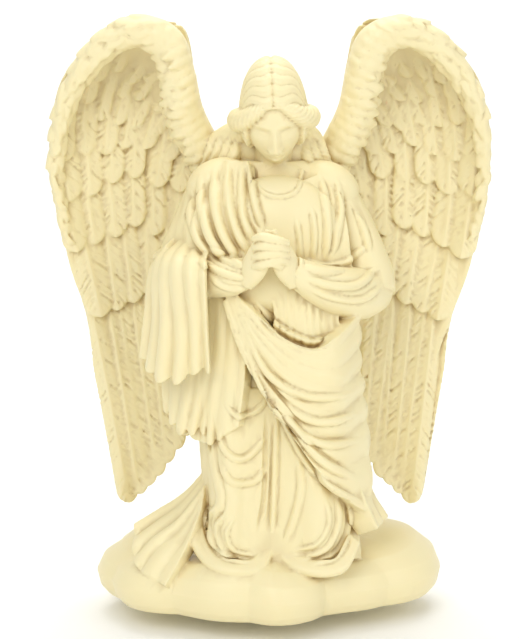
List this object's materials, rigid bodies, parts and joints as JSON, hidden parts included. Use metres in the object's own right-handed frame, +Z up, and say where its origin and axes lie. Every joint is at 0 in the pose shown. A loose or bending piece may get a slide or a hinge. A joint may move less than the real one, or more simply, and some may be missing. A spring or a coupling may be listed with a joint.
{
  "type": "kneeling angel memorial statue",
  "caption": "Kneeling angel with clasped hands, bowed head, draped robe and tall feathered wings, on a low cloud base; cast ivory memorial statue.",
  "frame": {"origin": "on the ground, under the middle of the statue, on the underside of the cloud", "axes": "+Z up, the face looks towards -Y, +X is the angel's left hand side"},
  "size_m": [0.2717, 0.1482, 0.3547],
  "materials": {
    "cast_marble": "satin ivory resin-bonded marble with a faint brown tone in the deepest folds"
  },
  "bodies": {
    "root": {"angel_statue": "cast_marble"}
  },
  "joints": []
}
